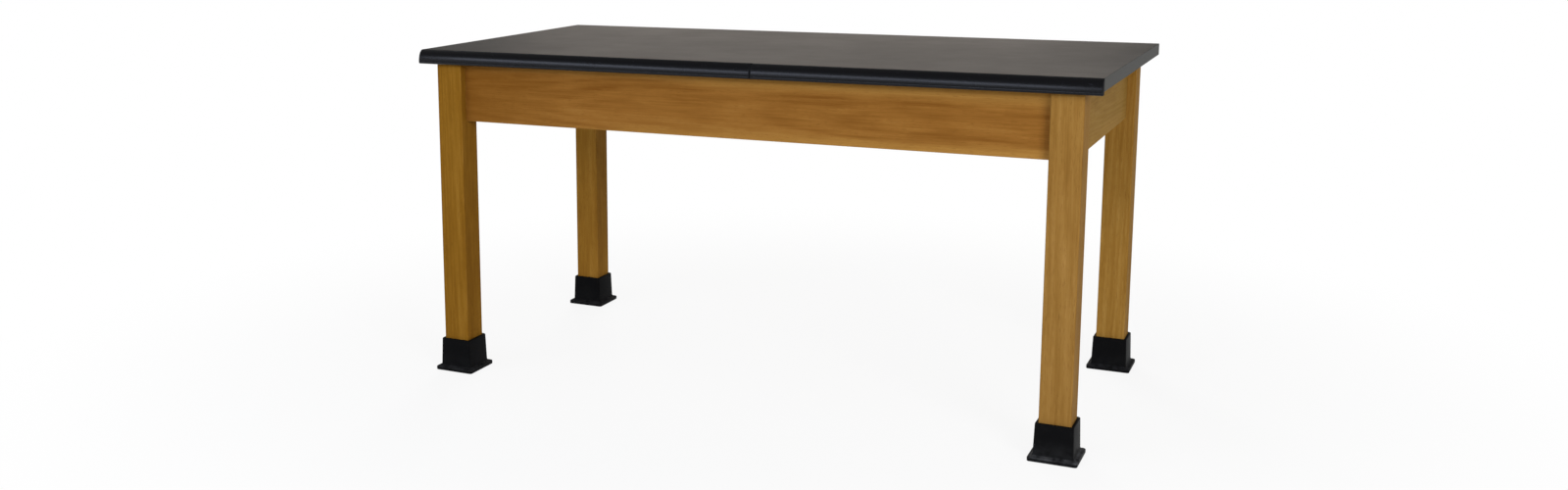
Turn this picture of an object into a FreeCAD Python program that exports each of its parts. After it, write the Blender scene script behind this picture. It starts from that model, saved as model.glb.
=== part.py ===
import FreeCAD, Part
import Sketcher
import os
import re

# Science lab table: oak legs and aprons, a black laminated top with a rounded front nosing,
# rubber boots on the legs and a screw leveller hidden in each boot.
# Millimetres, +Z up, +X along the length, front at -Y, origin on the floor under the middle.

SIZES = [
    ("top_length", 1524.0, "table top, end to end"),
    ("top_depth", 762.0, "table top, nosing face to rear edge"),
    ("table_height", 762.0, "floor to work surface"),
    ("slab_thickness", 25.4, "top at its ends: laminate, core and backer"),
    ("laminate_thickness", 1.2, "black sheet on the work surface"),
    ("laminate_bevel", 0.5, "broken upper edge of the black sheet"),
    ("backer_thickness", 0.8, "balancing sheet under the core"),
    ("band_thickness", 3.0, "edge band on the ends and the rear"),
    ("nosing_depth", 19.0, "front nosing, core edge to its face"),
    ("nosing_height", 31.75, "front nosing, work surface to lip"),
    ("nosing_radius", 16.0, "roll of the nosing over its front edge"),
    ("nosing_lip_radius", 4.0, "round at the foot of the nosing"),
    ("drip_groove_depth", 1.2, "groove along the nosing face"),
    ("drip_groove_height", 1.6, "opening of that groove"),
    ("tongue_thickness", 4.0, "tongue of the nosing in the core"),
    ("tongue_depth", 12.0, "reach of that tongue"),
    ("tongue_clearance", 0.1, "play of the tongue in its groove"),
    ("seam_place", 57.0, "seam of the nosing, right of the middle"),
    ("seam_gap", 0.4, "width of that seam"),
    ("end_overhang", 34.9, "top past the legs at each end"),
    ("side_overhang", 22.2, "top past the legs at front and rear"),
    ("leg_width", 63.5, "square section of a leg"),
    ("leg_edge_radius", 2.5, "eased long edges of a leg"),
    ("leg_flat", 16.0, "inner corner cut away for the bolts"),
    ("apron_thickness", 25.4, "apron board"),
    ("apron_height", 139.7, "apron board, top to bottom"),
    ("apron_setback", 19.0, "apron face behind the leg face"),
    ("apron_edge_radius", 1.5, "eased lower edges of aprons and rail"),
    ("rail_thickness", 19.05, "cross rail at mid length"),
    ("rail_height", 101.6, "cross rail, top to bottom"),
    ("dowel_diameter", 9.5, "wooden dowel"),
    ("dowel_length", 50.0, "wooden dowel, half in each piece"),
    ("dowel_bevel", 1.0, "chamfered dowel ends"),
    ("dowel_end_gap", 0.5, "hole past each dowel end"),
    ("long_dowel_spacing", 104.0, "dowel pair of a long apron"),
    ("end_dowel_spacing", 76.0, "dowel pair of an end apron"),
    ("rail_dowel_spacing", 56.0, "dowel pair of the cross rail"),
    ("rail_dowel_bite", 16.0, "reach of the rail dowels into the apron"),
    ("wood_clearance", 0.05, "radial play of pins and screws in wood"),
    ("brace_standoff", 36.0, "corner brace in front of the leg flat"),
    ("brace_thickness", 2.5, "corner brace plate"),
    ("brace_wing", 38.0, "brace wing along the apron"),
    ("brace_height", 90.0, "corner brace, top to bottom"),
    ("brace_bend_radius", 1.5, "round of the brace bends"),
    ("kerf_depth", 8.0, "brace hook into the apron"),
    ("kerf_clearance", 0.3, "play of the hook in its kerf"),
    ("bolt_diameter", 8.0, "hanger bolt"),
    ("bolt_embed", 40.0, "hanger bolt inside the leg"),
    ("bolt_tail", 5.0, "hanger bolt past its nut"),
    ("bolt_bevel", 1.0, "chamfered bolt end"),
    ("bolt_spacing", 36.0, "bolt pair of a leg"),
    ("bolt_clearance", 0.5, "radial play of a bolt in brace and washer"),
    ("nut_width", 13.0, "nut across flats"),
    ("nut_height", 6.5, "nut thickness"),
    ("washer_diameter", 18.0, "washer"),
    ("washer_thickness", 1.6, "washer plate"),
    ("screw_diameter", 4.2, "wood screw shank"),
    ("screw_length", 16.0, "wood screw under its head"),
    ("screw_point", 4.0, "tapered end of a screw"),
    ("screw_head_diameter", 8.0, "pan head"),
    ("screw_head_height", 2.6, "pan head"),
    ("brace_screw_place", 17.0, "screw from the bend of a wing"),
    ("brace_screw_spacing", 50.0, "screw pair of a wing"),
    ("clip_leg", 26.0, "each flange of a top clip"),
    ("clip_width", 22.0, "top clip along the apron"),
    ("clip_thickness", 2.0, "top clip plate"),
    ("clip_hole", 15.0, "screw hole from the bend of a clip"),
    ("clip_end_place", 140.0, "outer clips from the leg face"),
    ("clip_middle_place", 170.0, "inner clips from mid length"),
    ("boot_height", 76.2, "rubber boot, floor to rim"),
    ("boot_gap", 0.5, "boot bore outside the leg face"),
    ("boot_wall", 5.5, "boot wall at the rim"),
    ("boot_flare", 1.8, "widening of the boot down to its cove"),
    ("boot_flange", 9.2, "flange past the foot of the wall"),
    ("boot_lip", 7.5, "edge height of the flange"),
    ("boot_cove_radius", 6.6, "hollow between wall and flange"),
    ("boot_corner_radius", 4.0, "upright corners of the boot"),
    ("boot_rim_radius", 1.6, "round of the rim"),
    ("boot_lip_radius", 1.5, "round of the flange edge"),
    ("stud_diameter", 9.5, "levelling stud over its thread"),
    ("stud_length", 55.0, "threaded part above the collar"),
    ("stud_bevel", 1.0, "chamfered stud end"),
    ("stud_bore_gap", 1.0, "bore outside the stud above the insert"),
    ("stud_bore_spare", 6.0, "bore past the stud end"),
    ("thread_clearance", 0.06, "radial play of stud in insert and foot"),
    ("collar_width", 14.0, "hex collar of the stud across flats"),
    ("collar_height", 6.0, "hex collar"),
    ("spigot_diameter", 6.0, "pin of the stud in its foot"),
    ("spigot_length", 5.0, "reach of that pin"),
    ("leveller_gap", 0.2, "play above and below the collar"),
    ("foot_diameter", 38.0, "levelling foot on the floor"),
    ("foot_height", 9.0, "levelling foot"),
    ("foot_rim", 4.0, "straight edge of the foot"),
    ("foot_crown_diameter", 22.0, "flat top of the foot"),
    ("insert_diameter", 15.0, "threaded insert body"),
    ("insert_length", 22.0, "threaded insert inside the leg"),
    ("insert_flange_diameter", 24.0, "insert flange under the leg"),
    ("insert_flange_thickness", 2.0, "insert flange"),
]

PLACES = [
    ("frame_length", "top_length - 2 * end_overhang"),
    ("frame_depth", "top_depth - 2 * side_overhang"),
    ("under_top", "table_height - slab_thickness"),
    ("leg_bottom", "foot_height + collar_height + 2 * leveller_gap + insert_flange_thickness"),
    ("leg_length", "under_top - leg_bottom"),
    ("leg_x", "leg_width / 2 - frame_length / 2"),
    ("leg_y", "leg_width / 2 - frame_depth / 2"),
    ("apron_inside", "apron_setback + apron_thickness"),
    ("apron_line", "apron_setback + apron_thickness / 2"),
    ("apron_middle", "under_top - apron_height / 2"),
    ("long_apron_length", "frame_length - 2 * leg_width"),
    ("end_apron_length", "frame_depth - 2 * leg_width"),
    ("rail_length", "frame_depth - 2 * apron_inside"),
    ("rail_middle", "under_top - rail_height / 2"),
    ("inner_x", "apron_inside - frame_length / 2"),
    ("inner_y", "apron_inside - frame_depth / 2"),
    ("leg_inside", "leg_width - apron_inside"),
    ("flat_reach", "(leg_width - leg_flat) / 2"),
    ("brace_reach", "2 * leg_inside - leg_flat + sqrt(2) * brace_standoff"),
    ("brace_end", "brace_reach + brace_wing"),
    ("brace_inner", "brace_reach + (sqrt(2) - 1) * brace_thickness"),
    ("washer_reach", "flat_reach + (brace_standoff + brace_thickness) / sqrt(2)"),
    ("nut_reach", "washer_reach + washer_thickness / sqrt(2)"),
    ("bolt_length",
     "bolt_embed + brace_standoff + brace_thickness + washer_thickness + nut_height + bolt_tail"),
    ("long_clip_outer", "long_apron_length / 2 - clip_end_place"),
    ("end_clip_place", "end_apron_length / 2 - clip_end_place"),
    ("pilot_diameter", "screw_diameter + 2 * wood_clearance"),
    ("dowel_hole", "dowel_diameter + 2 * wood_clearance"),
    ("dowel_depth", "dowel_length / 2 + dowel_end_gap"),
    ("bolt_hole", "bolt_diameter + 2 * bolt_clearance"),
    ("core_front", "nosing_depth - top_depth / 2"),
    ("core_rear", "top_depth / 2 - band_thickness"),
    ("core_end", "top_length / 2 - band_thickness"),
    ("core_thickness", "slab_thickness - laminate_thickness - backer_thickness"),
    ("boot_bore", "leg_width / 2 + boot_gap"),
    ("boot_top", "boot_bore + boot_wall"),
    ("boot_waist", "boot_top + boot_flare"),
    ("boot_base", "boot_waist + boot_flange"),
    ("collar_bottom", "foot_height + leveller_gap"),
    ("collar_top", "collar_bottom + collar_height"),
    ("stud_top", "collar_top + stud_length"),
    ("spigot_bottom", "foot_height - spigot_length"),
]

THROUGH = "all"
NAMES = {row[0]: f"Sizes.{row[0]}" for row in SIZES}
NAMES.update({row[0]: f"Places.{row[0]}" for row in PLACES})
V = FreeCAD.Vector
UP = V(0, 0, 1)
MIRROR_X = V(1, 0, 0)
MIRROR_Y = V(0, 1, 0)

doc = FreeCAD.newDocument("science_lab_table")
nodes = {}


def ex(text):
    """Spell a formula with every size name led by its sheet."""
    return re.sub(r"[a-z]\w*", lambda match: NAMES.get(match[0], match[0]), text)


def write_sheets():
    """Fill one sheet with the driving sizes and one with the places that follow from them."""
    driving = doc.addObject("Spreadsheet::Sheet", "Sizes")
    for row, (alias, number, note) in enumerate(SIZES, 1):
        driving.set(f"A{row}", note)
        driving.set(f"B{row}", str(number))
        driving.setAlias(f"B{row}", alias)
    derived = doc.addObject("Spreadsheet::Sheet", "Places")
    for row, (alias, formula) in enumerate(PLACES, 1):
        derived.set(f"A{row}", alias)
        derived.set(f"B{row}", "=" + ex(formula))
        derived.setAlias(f"B{row}", alias)
        doc.recompute()
    return driving


sizes = write_sheets()


def number(text):
    """The number that a formula gives."""
    return float(sizes.evalExpression(ex(text)))


def bind(thing, prop, text):
    """Drive a property by a formula."""
    thing.setExpression(prop, ex(text))


def new_body(label, x="0", y="0", z="0", turn=0.0):
    """A body whose place follows the sheets."""
    body = doc.addObject("PartDesign::Body", label)
    body.Label = label
    body.Placement = FreeCAD.Placement(V(), FreeCAD.Rotation(UP, turn))
    for axis, formula in zip("xyz", (x, y, z)):
        bind(body, f"Placement.Base.{axis}", formula)
    return body


def node(label, thing):
    """Keep a finished object as a node of the table."""
    thing.Label = label
    nodes[label] = thing
    return thing


def sketch_on(body, plane, offset="0"):
    """An empty sketch on one of the body's own planes, moved along the plane's normal."""
    drawing = body.newObject("Sketcher::SketchObject", "Sketch")
    datum = next(item for item in body.Origin.OriginFeatures if item.Role == plane)
    drawing.AttachmentSupport = (datum, [""])
    drawing.MapMode = "FlatFace"
    bind(drawing, "AttachmentOffset.Base.z", offset)
    return drawing


def slanted_sketch(body, reach):
    """A sketch square to the corner diagonal, moved by reach along both X and Y."""
    drawing = sketch_on(body, "XZ_Plane")
    drawing.AttachmentOffset = FreeCAD.Placement(V(), FreeCAD.Rotation(V(0, 1, 0), 135))
    bind(drawing, "AttachmentOffset.Base.x", reach)
    bind(drawing, "AttachmentOffset.Base.z", f"-({reach})")
    return drawing


def fix_point(drawing, geometry, end, x, y):
    """Tie one point of a sketch to its two formulas."""
    for kind, axis, formula in (("DistanceX", -2, x), ("DistanceY", -1, y)):
        if formula == "0":
            drawing.addConstraint(Sketcher.Constraint("PointOnObject", geometry, end, axis))
            continue
        rule = Sketcher.Constraint(kind, -1, 1, geometry, end, number(formula))
        row = drawing.addConstraint(rule)
        bind(drawing, f"Constraints[{row}]", formula)


def outline(drawing, corners):
    """A closed polygon with a pair of formulas for each corner."""
    spots = [V(number(x), number(y), 0) for x, y in corners]
    count = len(spots)
    lines = [drawing.addGeometry(Part.LineSegment(spots[i], spots[(i + 1) % count]))
             for i in range(count)]
    for i, line in enumerate(lines):
        drawing.addConstraint(Sketcher.Constraint("Coincident", line, 2, lines[(i + 1) % count], 1))
    for line, (x, y) in zip(lines, corners):
        fix_point(drawing, line, 1, x, y)


def rectangle(drawing, left, right, low, high):
    """A rectangle between four formulas."""
    outline(drawing, [(left, low), (right, low), (right, high), (left, high)])


def square(drawing, half):
    """A square round the sketch origin."""
    rectangle(drawing, f"-({half})", half, f"-({half})", half)


def hexagon(drawing, flats):
    """A regular hexagon round the sketch origin, given across its flats."""
    point = f"({flats}) / sqrt(3)"
    side = f"({flats}) / 2"
    outline(drawing, [
        (point, "0"), (f"{point} / 2", side), (f"-{point} / 2", side),
        (f"-{point}", "0"), (f"-{point} / 2", f"-{side}"), (f"{point} / 2", f"-{side}"),
    ])


def circles(drawing, diameter, centres):
    """Equal circles, each centre a pair of formulas."""
    for x, y in centres:
        ring = drawing.addGeometry(Part.Circle(V(number(x), number(y), 0), UP, number(diameter) / 2))
        row = drawing.addConstraint(Sketcher.Constraint("Diameter", ring, number(diameter)))
        bind(drawing, f"Constraints[{row}]", diameter)
        fix_point(drawing, ring, 3, x, y)


def pair(middle, spacing):
    """Two formulas, half a spacing either side of a middle."""
    return [f"{middle} - {spacing} / 2", f"{middle} + {spacing} / 2"]


def pad(body, drawing, length):
    """Raise a sketch along its normal."""
    feature = body.newObject("PartDesign::Pad", "Pad")
    feature.Profile = drawing
    bind(feature, "Length", length)
    doc.recompute()
    return feature


def pocket(body, drawing, depth, along_normal=False):
    """Cut a sketch into the body, against its normal or along it."""
    before = body.Shape.Volume
    feature = body.newObject("PartDesign::Pocket", "Pocket")
    feature.Profile = drawing
    feature.Reversed = along_normal
    if depth == THROUGH:
        feature.Type = "ThroughAll"
    else:
        bind(feature, "Length", depth)
    doc.recompute()
    if body.Shape.Volume > before - 1e-3:
        raise ValueError(f"a pocket of {body.Label} cuts nothing")
    return feature


def mirrored_cuts(body, plane, cuts):
    """Repeat cuts on the other side of one of the body's own planes."""
    feature = body.newObject("PartDesign::Mirrored", "Mirrored")
    feature.Originals = cuts
    datum = next(item for item in body.Origin.OriginFeatures if item.Role == plane)
    feature.MirrorPlane = (datum, [""])
    body.Tip = feature
    doc.recompute()


def round_edges(body, radius, wanted):
    """Fillet the edges that a test picks."""
    last = body.Tip
    picked = [f"Edge{i}" for i, edge in enumerate(last.Shape.Edges, 1) if wanted(edge)]
    feature = body.newObject("PartDesign::Fillet", "Fillet")
    feature.Base = (last, picked)
    bind(feature, "Radius", radius)
    doc.recompute()


def turned(label, corners, x="0", y="0", z="0"):
    """A body turned round its own Z axis from a profile of radius and height."""
    body = new_body(label, x, y, z)
    drawing = sketch_on(body, "XZ_Plane")
    outline(drawing, corners)
    feature = body.newObject("PartDesign::Revolution", "Revolution")
    feature.Profile = drawing
    feature.ReferenceAxis = (drawing, ["V_Axis"])
    feature.Angle = 360
    doc.recompute()
    return body


def direction(edge):
    """Unit vector from one end of an edge to the other."""
    ends = edge.Vertexes
    step = ends[-1].Point - ends[0].Point
    return step.normalize() if step.Length > 1e-6 else V()


def runs_along(edge, axis):
    """True for a straight edge along an axis."""
    return abs(direction(edge).dot(axis)) > 0.999


def placed(master, x, y, z, rotation):
    """A linked copy of a fastener at a place that follows the sheets."""
    copy = doc.addObject("App::Link", "Copy")
    copy.LinkedObject = master
    copy.Placement = FreeCAD.Placement(V(), rotation)
    for axis, formula in zip("xyz", (x, y, z)):
        bind(copy, f"Placement.Base.{axis}", formula)
    return copy


def facing(x, y, z):
    """Rotation that turns +Z to a direction."""
    return FreeCAD.Rotation(UP, V(x, y, z))


def mirrored(source, normal, label="Mirror"):
    """A mirror image across a plane through the origin."""
    copy = doc.addObject("Part::Mirroring", label)
    copy.Source = source
    copy.Normal = normal
    return copy


def gathered(things, label="Group"):
    """Several solids kept apart in one object."""
    group = doc.addObject("Part::Compound", label)
    group.Links = things
    return group


def in_four_corners(things):
    """The fasteners of the front left quarter and their three mirror images."""
    quarter = gathered(things)
    front = gathered([quarter, mirrored(quarter, MIRROR_X)])
    return gathered([front, mirrored(front, MIRROR_Y)])


def four_nodes(name, front_left):
    """A piece of the front left corner and its mirror images, each a node."""
    node(f"{name}_front_left", front_left)
    front_right = node(f"{name}_front_right", mirrored(front_left, MIRROR_X))
    node(f"{name}_rear_left", mirrored(front_left, MIRROR_Y))
    node(f"{name}_rear_right", mirrored(front_right, MIRROR_Y))


def clip_screw_places():
    """Where the top clips' upright screws meet the underside of the top, front left quarter."""
    front = "inner_y + clip_hole"
    side = "inner_x + clip_hole"
    return [("-long_clip_outer", front), ("-clip_middle_place", front), (side, "-end_clip_place")]


def pilot_circles(drawing):
    """Screw holes of all four quarters on a sketch in the table's own XY frame."""
    for x, y in clip_screw_places():
        for flip_x in ("", "-"):
            for flip_y in ("", "-"):
                circles(drawing, "pilot_diameter", [(f"{flip_x}({x})", f"{flip_y}({y})")])


def make_top():
    """Core, laminate, backer and edge bands."""
    core = new_body("top_core", z="under_top + backer_thickness")
    blank = sketch_on(core, "XY_Plane")
    rectangle(blank, "-core_end", "core_end", "core_front", "core_rear")
    pad(core, blank, "core_thickness")
    groove = sketch_on(core, "XZ_Plane", "-core_front")
    half = "(tongue_thickness / 2 + tongue_clearance)"
    middle = "(slab_thickness / 2 - backer_thickness)"
    rectangle(groove, "-core_end", "core_end", f"{middle} - {half}", f"{middle} + {half}")
    pocket(core, groove, "tongue_depth + tongue_clearance")
    pilots = sketch_on(core, "XY_Plane")
    pilot_circles(pilots)
    pocket(core, pilots, "screw_length - clip_thickness", along_normal=True)
    node("top_core", core)

    laminate = new_body("top_laminate", z="table_height - laminate_thickness")
    sheet = sketch_on(laminate, "XY_Plane")
    rectangle(sheet, "-top_length / 2", "top_length / 2", "core_front", "top_depth / 2")
    raised = pad(laminate, sheet, "laminate_thickness")
    front = number("core_front")
    upper = number("laminate_thickness")
    rim = [f"Edge{i}" for i, edge in enumerate(raised.Shape.Edges, 1)
           if abs(edge.BoundBox.ZMin - upper) < 1e-6 and edge.BoundBox.YMax > front + 1e-6]
    bevel = laminate.newObject("PartDesign::Chamfer", "Chamfer")
    bevel.Base = (raised, rim)
    bind(bevel, "Size", "laminate_bevel")
    doc.recompute()
    node("top_laminate", laminate)

    backer = new_body("backer_sheet", z="under_top")
    sheet = sketch_on(backer, "XY_Plane")
    rectangle(sheet, "-core_end", "core_end", "core_front", "core_rear")
    pilot_circles(sheet)
    pad(backer, sheet, "backer_thickness")
    node("backer_sheet", backer)

    end_band = new_body("left_end_band", z="under_top")
    strip = sketch_on(end_band, "XY_Plane")
    rectangle(strip, "-top_length / 2", "-core_end", "core_front", "top_depth / 2")
    pad(end_band, strip, "slab_thickness - laminate_thickness")
    node("left_end_band", end_band)
    node("right_end_band", mirrored(end_band, MIRROR_X))

    rear_band = new_body("rear_edge_band", z="under_top")
    strip = sketch_on(rear_band, "XY_Plane")
    rectangle(strip, "-core_end", "core_end", "core_rear", "top_depth / 2")
    pad(rear_band, strip, "slab_thickness - laminate_thickness")
    node("rear_edge_band", rear_band)


def make_nosing(label, start, length, band_start):
    """One length of the rounded front nosing; its tongue stops short where the end band passes."""
    nosing = new_body(label, start, "core_front", "table_height")
    profile = sketch_on(nosing, "YZ_Plane")
    tongue_top = "(tongue_thickness - slab_thickness) / 2"
    tongue_foot = "-(tongue_thickness + slab_thickness) / 2"
    groove_top = "drip_groove_height / 2 - slab_thickness"
    groove_foot = "-drip_groove_height / 2 - slab_thickness"
    outline(profile, [
        ("0", "0"), ("0", tongue_top), ("tongue_depth", tongue_top), ("tongue_depth", tongue_foot),
        ("0", tongue_foot), ("0", "-nosing_height"), ("-nosing_depth", "-nosing_height"),
        ("-nosing_depth", groove_foot), ("drip_groove_depth - nosing_depth", groove_foot),
        ("drip_groove_depth - nosing_depth", groove_top), ("-nosing_depth", groove_top),
        ("-nosing_depth", "0"),
    ])
    pad(nosing, profile, length)
    face = -number("nosing_depth")
    lip = -number("nosing_height")

    def at(edge, height):
        box = edge.BoundBox
        return runs_along(edge, MIRROR_X) and abs(box.YMin - face) + abs(box.ZMin - height) < 1e-6

    round_edges(nosing, "nosing_radius", lambda edge: at(edge, 0.0))
    round_edges(nosing, "nosing_lip_radius", lambda edge: at(edge, lip))
    stop = sketch_on(nosing, "XY_Plane")
    rectangle(stop, band_start, f"{band_start} + band_thickness + tongue_clearance", "0", "tongue_depth")
    pocket(nosing, stop, THROUGH)
    node(label, nosing)


def make_legs():
    """Square legs with bores for dowels, hanger bolts, insert and stud."""
    leg = new_body("leg_front_left", "leg_x", "leg_y", "leg_bottom")
    blank = sketch_on(leg, "XY_Plane")
    square(blank, "leg_width / 2")
    pad(leg, blank, "leg_length")
    round_edges(leg, "leg_edge_radius", lambda edge: runs_along(edge, UP))
    flat = sketch_on(leg, "XY_Plane", "leg_length")
    past = "leg_width / 2 + leg_edge_radius"
    short = "leg_width / 2 - leg_flat - leg_edge_radius"
    outline(flat, [(past, short), (past, past), (short, past)])
    pocket(leg, flat, "apron_height")
    middle = "leg_length - apron_height / 2"
    bolts = slanted_sketch(leg, "flat_reach - bolt_embed / sqrt(2)")
    circles(bolts, "bolt_diameter + 2 * wood_clearance",
            [("0", height) for height in pair(middle, "bolt_spacing")])
    pocket(leg, bolts, THROUGH, along_normal=True)
    line = "apron_line - leg_width / 2"
    long_dowels = sketch_on(leg, "YZ_Plane", "leg_width / 2")
    circles(long_dowels, "dowel_hole", [(line, height) for height in pair(middle, "long_dowel_spacing")])
    pocket(leg, long_dowels, "dowel_depth")
    end_dowels = sketch_on(leg, "XZ_Plane", "-leg_width / 2")
    circles(end_dowels, "dowel_hole", [(line, height) for height in pair(middle, "end_dowel_spacing")])
    pocket(leg, end_dowels, "dowel_depth", along_normal=True)
    insert = sketch_on(leg, "XY_Plane")
    circles(insert, "insert_diameter + 2 * wood_clearance", [("0", "0")])
    pocket(leg, insert, "insert_length", along_normal=True)
    bore = sketch_on(leg, "XY_Plane")
    circles(bore, "stud_diameter + 2 * stud_bore_gap", [("0", "0")])
    pocket(leg, bore, "stud_top - leg_bottom + stud_bore_spare", along_normal=True)
    four_nodes("leg", leg)


def make_apron(label, length, dowel_spacing, clip_places, place, rail=False):
    """An apron with its dowel holes, brace kerfs and screw holes; local +Y points inward."""
    apron = new_body(label, **place)
    blank = sketch_on(apron, "XY_Plane")
    rectangle(blank, f"-{length} / 2", f"{length} / 2", "0", "apron_thickness")
    pad(apron, blank, "apron_height")
    round_edges(apron, "apron_edge_radius",
                lambda edge: runs_along(edge, MIRROR_X) and edge.BoundBox.ZMax < 1e-6)
    middle = "apron_height / 2"
    ends = sketch_on(apron, "YZ_Plane", f"{length} / 2")
    circles(ends, "dowel_hole",
            [("apron_thickness / 2", height) for height in pair(middle, dowel_spacing)])
    cuts = [pocket(apron, ends, "dowel_depth")]
    bend = f"{length} / 2 + leg_inside - brace_reach"
    kerf = sketch_on(apron, "XZ_Plane", "-apron_thickness")
    rectangle(kerf, f"{bend} - brace_wing - kerf_clearance",
              f"{bend} - brace_wing + brace_thickness + kerf_clearance", "0", "apron_height")
    cuts.append(pocket(apron, kerf, "kerf_depth + kerf_clearance", along_normal=True))
    screws = sketch_on(apron, "XZ_Plane", "-apron_thickness")
    circles(screws, "pilot_diameter",
            [(f"{bend} - brace_screw_place", height) for height in pair(middle, "brace_screw_spacing")])
    cuts.append(pocket(apron, screws, "screw_length - brace_thickness", along_normal=True))
    clips = sketch_on(apron, "XZ_Plane", "-apron_thickness")
    circles(clips, "pilot_diameter", [(spot, "apron_height - clip_hole") for spot in clip_places])
    cuts.append(pocket(apron, clips, "screw_length - clip_thickness", along_normal=True))
    mirrored_cuts(apron, "YZ_Plane", cuts)
    if rail:
        holes = sketch_on(apron, "XZ_Plane", "-apron_thickness")
        rail_line = "apron_height - rail_height / 2"
        circles(holes, "dowel_hole", [("0", height) for height in pair(rail_line, "rail_dowel_spacing")])
        pocket(apron, holes, "rail_dowel_bite + dowel_end_gap", along_normal=True)
    return node(label, apron)


def make_aprons():
    """Four aprons and the cross rail between the long ones."""
    front = make_apron(
        "front_apron", "long_apron_length", "long_dowel_spacing",
        ["clip_middle_place", "long_clip_outer"],
        {"y": "apron_setback - frame_depth / 2", "z": "under_top - apron_height"}, rail=True)
    node("rear_apron", mirrored(front, MIRROR_Y))
    left = make_apron(
        "left_apron", "end_apron_length", "end_dowel_spacing", ["end_clip_place"],
        {"x": "apron_setback - frame_length / 2", "z": "under_top - apron_height", "turn": -90.0})
    node("right_apron", mirrored(left, MIRROR_X))

    rail = new_body("cross_rail", z="under_top - rail_height")
    blank = sketch_on(rail, "XY_Plane")
    rectangle(blank, "-rail_thickness / 2", "rail_thickness / 2", "-rail_length / 2", "rail_length / 2")
    pad(rail, blank, "rail_height")
    round_edges(rail, "apron_edge_radius",
                lambda edge: runs_along(edge, MIRROR_Y) and edge.BoundBox.ZMax < 1e-6)
    ends = sketch_on(rail, "XZ_Plane", "rail_length / 2")
    circles(ends, "dowel_hole",
            [("0", height) for height in pair("rail_height / 2", "rail_dowel_spacing")])
    depth = "dowel_length - rail_dowel_bite + dowel_end_gap"
    mirrored_cuts(rail, "XZ_Plane", [pocket(rail, ends, depth)])
    node("cross_rail", rail)


def make_dowels():
    """Dowels of the eight apron joints and of the cross rail."""
    dowel = turned("dowel", [
        ("0", "-dowel_length / 2"), ("dowel_diameter / 2 - dowel_bevel", "-dowel_length / 2"),
        ("dowel_diameter / 2", "dowel_bevel - dowel_length / 2"),
        ("dowel_diameter / 2", "dowel_length / 2 - dowel_bevel"),
        ("dowel_diameter / 2 - dowel_bevel", "dowel_length / 2"), ("0", "dowel_length / 2"),
    ])
    corner = []
    for height in pair("apron_middle", "long_dowel_spacing"):
        corner.append(placed(dowel, "leg_x + leg_width / 2", "apron_line - frame_depth / 2", height,
                             facing(1, 0, 0)))
    for height in pair("apron_middle", "end_dowel_spacing"):
        corner.append(placed(dowel, "apron_line - frame_length / 2", "leg_y + leg_width / 2", height,
                             facing(0, 1, 0)))
    inset = "inner_y + dowel_length / 2 - rail_dowel_bite"
    rail = gathered([placed(dowel, "0", inset, height, facing(0, 1, 0))
                     for height in pair("rail_middle", "rail_dowel_spacing")])
    node("dowels", gathered([in_four_corners(corner), rail, mirrored(rail, MIRROR_Y)]))


def make_braces():
    """Bent steel plates hooked into kerfs of both aprons of a corner."""
    brace = new_body("corner_brace_front_left", "inner_x", "inner_y", "apron_middle - brace_height / 2")
    strip = sketch_on(brace, "XY_Plane")
    tip = "brace_end - brace_thickness"
    wing = [("brace_end", "-kerf_depth"), ("brace_end", "brace_thickness"),
            ("brace_inner", "brace_thickness")]
    hook = [("brace_reach", "0"), (tip, "0"), (tip, "-kerf_depth")]
    outline(strip, wing + [(y, x) for x, y in reversed(wing)]
            + [(y, x) for x, y in reversed(hook)] + hook)
    pad(brace, strip, "brace_height")
    hooks = [number("-kerf_depth"), number(tip)]

    def bend(edge):
        spot = edge.Vertexes[0].Point
        return runs_along(edge, UP) and all(abs(c - h) > 1e-3 for c in (spot.x, spot.y) for h in hooks)

    round_edges(brace, "brace_bend_radius", bend)
    heights = pair("brace_height / 2", "brace_screw_spacing")
    front_wing = sketch_on(brace, "XZ_Plane")
    circles(front_wing, "pilot_diameter",
            [("brace_reach + brace_screw_place", height) for height in heights])
    pocket(brace, front_wing, THROUGH)
    side_wing = sketch_on(brace, "YZ_Plane")
    circles(side_wing, "pilot_diameter",
            [("brace_reach + brace_screw_place", height) for height in heights])
    pocket(brace, side_wing, THROUGH, along_normal=True)
    bolts = slanted_sketch(brace, "0")
    circles(bolts, "bolt_hole", [("0", height) for height in pair("brace_height / 2", "bolt_spacing")])
    pocket(brace, bolts, THROUGH, along_normal=True)
    four_nodes("corner_brace", brace)


def make_bolts():
    """Hanger bolts with their washers and nuts."""
    bolt = turned("hanger_bolt", [
        ("0", "0"), ("bolt_diameter / 2", "bolt_diameter / 2"),
        ("bolt_diameter / 2", "bolt_length - bolt_bevel"),
        ("bolt_diameter / 2 - bolt_bevel", "bolt_length"), ("0", "bolt_length"),
    ])
    washer = new_body("washer")
    plate = sketch_on(washer, "XY_Plane")
    circles(plate, "washer_diameter", [("0", "0")])
    circles(plate, "bolt_hole", [("0", "0")])
    pad(washer, plate, "washer_thickness")
    nut = new_body("nut")
    flats = sketch_on(nut, "XY_Plane")
    hexagon(flats, "nut_width")
    circles(flats, "bolt_diameter + 2 * thread_clearance", [("0", "0")])
    pad(nut, flats, "nut_height")
    rows = (("hanger_bolts", bolt, "flat_reach - bolt_embed / sqrt(2)"),
            ("brace_washers", washer, "washer_reach"), ("brace_nuts", nut, "nut_reach"))
    for label, master, reach in rows:
        corner = [placed(master, f"leg_x + {reach}", f"leg_y + {reach}", height, facing(1, 1, 0))
                  for height in pair("apron_middle", "bolt_spacing")]
        node(label, in_four_corners(corner))


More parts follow.
